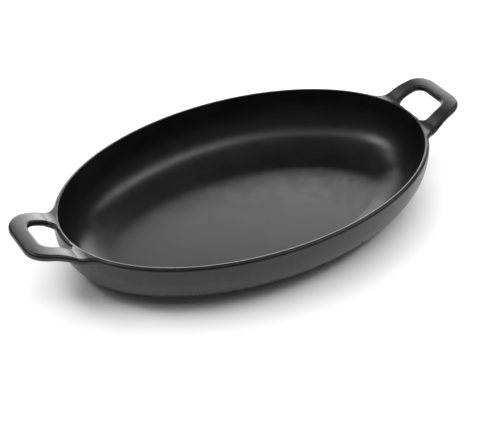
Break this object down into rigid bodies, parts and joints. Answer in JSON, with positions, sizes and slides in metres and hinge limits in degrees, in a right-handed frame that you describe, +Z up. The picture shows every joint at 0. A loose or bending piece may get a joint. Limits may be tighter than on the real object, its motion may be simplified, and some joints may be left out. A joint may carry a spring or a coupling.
{
  "type": "gratin dish",
  "caption": "Shallow oval gratin dish in black enamelled cast iron, with a flat floor, rounded walls and raised loop handles at the ends.",
  "frame": {"origin": "middle of the flat resting face, at the bottom of the dish", "axes": "+X along the length through both handles, +Y across the dish, +Z up out of the dish"},
  "size_m": [0.392, 0.207, 0.0601],
  "materials": {
    "casting": "satin black enamel over cast iron",
    "lining": "satin black cooking enamel"
  },
  "bodies": {
    "root": {"dish_body": "casting", "right_handle": "casting", "left_handle": "casting", "enamel_lining": "lining"}
  },
  "joints": []
}
